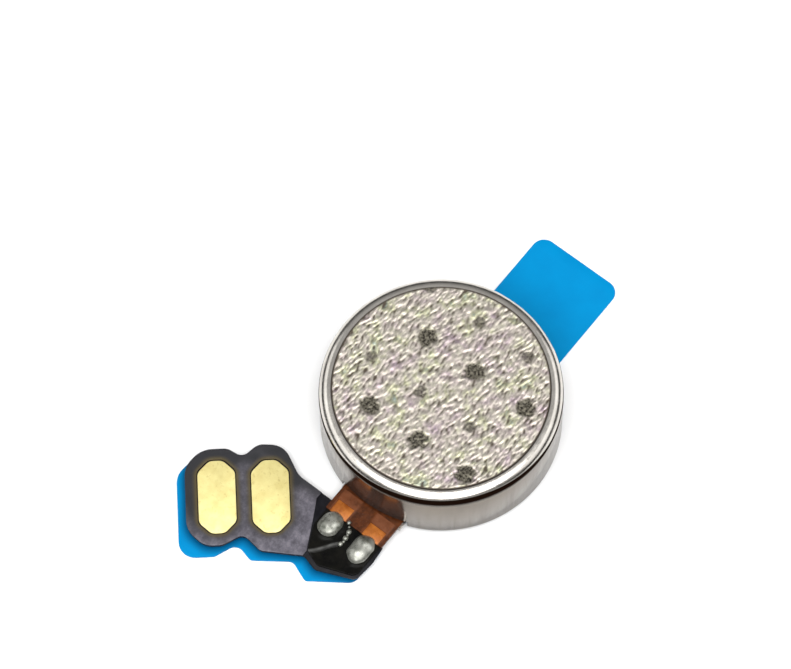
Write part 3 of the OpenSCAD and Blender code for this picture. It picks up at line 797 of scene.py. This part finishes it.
def makeNeck(settings):
    for nodeName, pieceName, finish, slotName in (
            ("neck_film", "neckBaseFilm", amberFinish, "amber_film"),
            ("neck_traces", "neckCopper", traceFinish, "copper"),
            ("neck_cover", "neckCoverFilm", amberFinish, "amber_film")):
        strip = copyOfNode(nodeName, pieceName)
        cutGrid(strip, settings["step"])
        if nodeName == "neck_cover":
            raiseOverTraces(strip, settings)
        finishPiece(strip, finish, [nodeName])
        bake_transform(strip)
    for nodeName, pieceName, finish, slotName in (
            ("lap_film", "lapBaseFilm", amberFinish, "amber_film"),
            ("lap_lands", "lapLands", landFinish, "copper"),
            ("lap_cover", "lapCoverFilm", amberFinish, "amber_film")):
        layer = copyOfNode(nodeName, pieceName)
        if nodeName == "lap_cover":
            cutGrid(layer, settings["step"] * 2)
            raiseOverTraces(layer, settings)
        else:
            soften(layer, settings["edge"], 2)
        finishPiece(layer, finish, [nodeName], "tail")


makeNeck(neckSettings)
print("neck done")


# Lap joints: remelted solder under flux, with small beads between, and poured glue
solderSettings = {
    "voxel": 0.026,
    "smooth": 6,
    "spread": 1.15,
    "slump": 0.035,
    "beadSize": (1.1, 0.9, 0.8),
    "beads": [(-7.04, -0.30, 0.11), (-6.88, -0.33, 0.07), (-6.72, -0.31, 0.13),
              (-6.56, -0.28, 0.07), (-6.42, -0.25, 0.12), (-6.24, -0.12, 0.06),
              (-6.10, 0.0, 0.09)],
    "look": {"dark": (0.10, 0.105, 0.085), "light": (0.5, 0.5, 0.45), "grain": 0.5, "fine": 0.16,
             "roughness": (0.24, 0.36), "relief": 0.004, "metallic": 0.65, "coat": 0.3},
}


def makeSolder(settings):
    low, high = nodeBox("lap_solder")
    solder = copyOfNode("lap_solder", "solderJoints")
    modify(solder, "REMESH", mode="VOXEL", voxel_size=settings["voxel"])
    modify(solder, "SMOOTH", factor=0.5, iterations=settings["smooth"])
    middleY = (low.y + high.y) / 2
    for side in (-1, 1):
        mound = [v for v in solder.data.vertices if side * (v.co.y - middleY) > 0]
        xs, ys = [v.co.x for v in mound], [v.co.y for v in mound]
        half = (max(ys) - min(ys)) / 2
        y = (max(ys) + min(ys)) / 2
        firstX, lastX = min(xs) + half, max(xs) - half
        for vertex in mound:
            spine = Vector((max(firstX, min(lastX, vertex.co.x)), y))
            offset = vertex.co.xy - spine
            share = min(1, offset.length / half)
            wobble = driftAt(vertex.co.x * 3, vertex.co.y * 3, side / 3)
            flat = spine + offset * settings["spread"] + settings["slump"] * wobble.xy
            dome = low.z + (high.z - low.z) * math.sqrt(1 - share * share)
            if vertex.co.z > low.z + 0.06:
                vertex.co.z = dome + settings["slump"] * wobble.z
            vertex.co.x, vertex.co.y = flat
    glueTop = nodeBox("joint_glue")[1].z
    beads = []
    for x, y, radius in settings["beads"]:
        bpy.ops.mesh.primitive_uv_sphere_add(segments=16, ring_count=10, radius=radius,
                                             location=(x, y, glueTop + radius * 0.55))
        bead = named("bead")
        shapeIt(bead)
        bpy.ops.transform.resize(value=settings["beadSize"])
        bpy.ops.object.mode_set(mode="OBJECT")
        beads.append(bead)
    useOnly(solder, *beads)
    bpy.ops.object.join()
    return finishPiece(solder, plainFinish("meltedSolder", settings["look"]),
                       ["lap_solder"], "tail", 180)


makeSolder(solderSettings)


glueSettings = {
    "edge": 0.05,
    "step": 0.05,
    "windowInset": 0.1,  # the solder's outlines lie at least this far inside the glue's own
    "climb": 0.02,  # how far the glue creeps up the solder
    "climbReach": (0.02, 0.25),
    "sag": 0.012,
    "ridge": 0.05,
    "ridgeWidth": 0.1,
    "ridgeLine": [(-8.22, 0.82), (-8.08, 0.6), (-7.9, 0.41), (-7.68, 0.24), (-7.45, 0.09),
                  (-7.22, -0.06), (-7.06, -0.2)],
    # painted highlight: grey along the glue's ridge stands in for the light it catches
    "ridgeHighlightGrey": (0.13, 0.13, 0.125),
    "look": {"dark": (0.002, 0.002, 0.002), "light": (0.007, 0.0065, 0.005), "grain": 0.35,
             "fine": 0.12, "roughness": (0.1, 0.24), "relief": 0.004, "gloss": 0.08},
}


def makeGlue(settings):
    low, high = nodeBox("joint_glue")
    glue = copyOfNode("joint_glue", "jointGlueBlob")
    soften(glue, settings["edge"], 3)
    cutGrid(glue, settings["step"])
    inner = settings["windowInset"]
    windows = [pair for pair in outlineOf("joint_glue")
               if all(low.x + inner < p.x < high.x and low.y + inner < p.y < high.y - inner
                      for p in pair)]
    points = [Vector(p) for p in settings["ridgeLine"]]
    line = list(zip(points, points[1:]))
    ridgeHighlight = glue.data.attributes.new("ridgeHighlight", "FLOAT", "POINT")
    for i, vertex in enumerate(glue.data.vertices):
        if vertex.co.z < high.z - 0.03:
            continue
        flat = vertex.co.xy
        ridge = 1 - stepUp(outlineGap(flat, line), 0, settings["ridgeWidth"])
        creep = 1 - stepUp(outlineGap(flat, windows), *settings["climbReach"])
        sag = settings["sag"] * noise.noise(Vector((flat.x * 2, flat.y * 2, 5)))
        blotch = noise.noise(Vector((flat.x * 4, flat.y * 4, 1)))
        # painted highlight along the ridge, patchy
        ridgeHighlight.data[i].value = ridge * (0.6 + 0.4 * blotch)
        vertex.co.z += settings["ridge"] * ridge + settings["climb"] * creep + sag
    material = tintOver(plainFinish("pouredGlue", settings["look"]),
                        lambda tree: attributeOf(tree, "ridgeHighlight"), settings["ridgeHighlightGrey"])
    return finishPiece(glue, material, ["joint_glue"], "tail", 60)


makeGlue(glueSettings)
print("lap joints done")


# CAD nodes that keep their shape take a finish of their own
insideLooks = {
    "plateSteel": {"dark": (0.45, 0.43, 0.4), "light": (0.62, 0.6, 0.57), "grain": 0.7,
        "fine": 0.08, "roughness": (0.22, 0.34), "relief": 0.003, "metallic": 1.0},
    "weldSteel": {"dark": (0.16, 0.13, 0.12), "light": (0.34, 0.3, 0.27), "grain": 0.08,
        "fine": 0.03, "roughness": (0.35, 0.5), "relief": 0.01, "metallic": 1.0},
    "groundSteel": {"dark": (0.6, 0.6, 0.6), "light": (0.75, 0.75, 0.75), "grain": 0.5,
        "fine": 0.05, "stretch": (1, 1, 8), "roughness": (0.08, 0.15), "relief": 0.001,
        "metallic": 1.0},
    "slickFilm": {"dark": (0.7, 0.69, 0.63), "light": (0.82, 0.81, 0.75), "grain": 0.2,
        "fine": 0.05, "roughness": (0.35, 0.45), "relief": 0.002},
    "magnetPlating": {"dark": (0.22, 0.22, 0.23), "light": (0.34, 0.34, 0.35), "grain": 0.6,
        "fine": 0.06, "roughness": (0.25, 0.38), "relief": 0.003, "metallic": 1.0},
    "springMetal": {"dark": (0.72, 0.52, 0.2), "light": (0.9, 0.7, 0.32), "grain": 0.3,
        "fine": 0.04, "stretch": (0.2, 1, 1), "roughness": (0.18, 0.28), "relief": 0.001,
        "metallic": 1.0},
    "padGlue": {"dark": (0.3, 0.29, 0.27), "light": (0.42, 0.41, 0.38), "grain": 0.4,
        "fine": 0.05, "roughness": (0.5, 0.65), "relief": 0.004},
    "tapeWhite": {"dark": (0.5, 0.49, 0.45), "light": (0.64, 0.63, 0.59), "grain": 0.4,
        "fine": 0.05, "roughness": (0.5, 0.65), "relief": 0.004},
    "rotorBoard": {"dark": (0.02, 0.09, 0.035), "light": (0.035, 0.14, 0.05), "grain": 0.12,
        "fine": 0.05, "roughness": (0.3, 0.45), "relief": 0.003},
    "rotorResin": {"dark": (0.015, 0.017, 0.02), "light": (0.04, 0.044, 0.05), "grain": 0.25,
        "fine": 0.04, "roughness": (0.45, 0.6), "relief": 0.006},
    "sinteredWeight": {"dark": (0.2, 0.2, 0.21), "light": (0.34, 0.34, 0.36), "grain": 0.08,
        "fine": 0.03, "roughness": (0.38, 0.5), "relief": 0.006, "metallic": 1.0},
    "porousBronze": {"dark": (0.38, 0.22, 0.08), "light": (0.66, 0.42, 0.18), "grain": 0.06,
        "fine": 0.025, "roughness": (0.35, 0.5), "relief": 0.006, "metallic": 1.0},
}
nodeFinishes = {
    "base_plate": "plateSteel", "weld_spots": "weldSteel", "shaft": "groundSteel",
    "lower_washer": "slickFilm", "upper_washer": "slickFilm", "ring_magnet": "magnetPlating",
    "brush_left": "springMetal", "brush_right": "springMetal", "pad_adhesive": "padGlue",
    "motor_tape": "tapeWhite", "rotor_board": "rotorBoard", "rotor_resin": "rotorResin",
    "eccentric_weight": "sinteredWeight", "bearing": "porousBronze",
}
madeFinishes = {name: plainFinish(name, look) for name, look in insideLooks.items()}


def windingFinish(name, nodeName):
    # Turns of enamelled wire: rings round the coil's own middle
    low, high = nodeBox(nodeName)
    centre = (low + high) / 2
    material, tree, shader = newMaterial(name, {"Metallic": 0.9, "Coat Weight": 0.5})
    centred = addNode(tree, "ShaderNodeMapping", {
        "Vector": whereOn(tree), "Location": -centre, "Scale": (perMetre,) * 3}).outputs["Vector"]
    turns = addNode(tree, "ShaderNodeTexWave", {
        "Vector": centred, "Scale": 2.6, "Distortion": 0.4, "Detail": 1.0},
        wave_type="RINGS", rings_direction="Z").outputs["Fac"]
    colour = ramp(tree, turns, ((0.1, (0.16, 0.04, 0.015)), (0.6, (0.62, 0.24, 0.09))))
    tree.links.new(colour, shader.inputs["Base Color"])
    tree.links.new(between(tree, turns, 0.3, 0.2), shader.inputs["Roughness"])
    raiseBy(tree, shader, turns, 0.03)
    return material


def dressNode(nodeName, material):
    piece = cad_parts[nodeName]
    piece.data.materials.clear()
    piece.data.materials.append(material)


for nodeName, finishName in nodeFinishes.items():
    dressNode(nodeName, madeFinishes[finishName])
dressNode("board_flex", amberFinish)
dressNode("commutator", goldFinish)
dressNode("brush_solder", plainFinish("brushSolder", solderSettings["look"]))
for side in ("leading", "trailing"):
    dressNode("coil_" + side, windingFinish(side + "Winding", "coil_" + side))
print("finishes done")
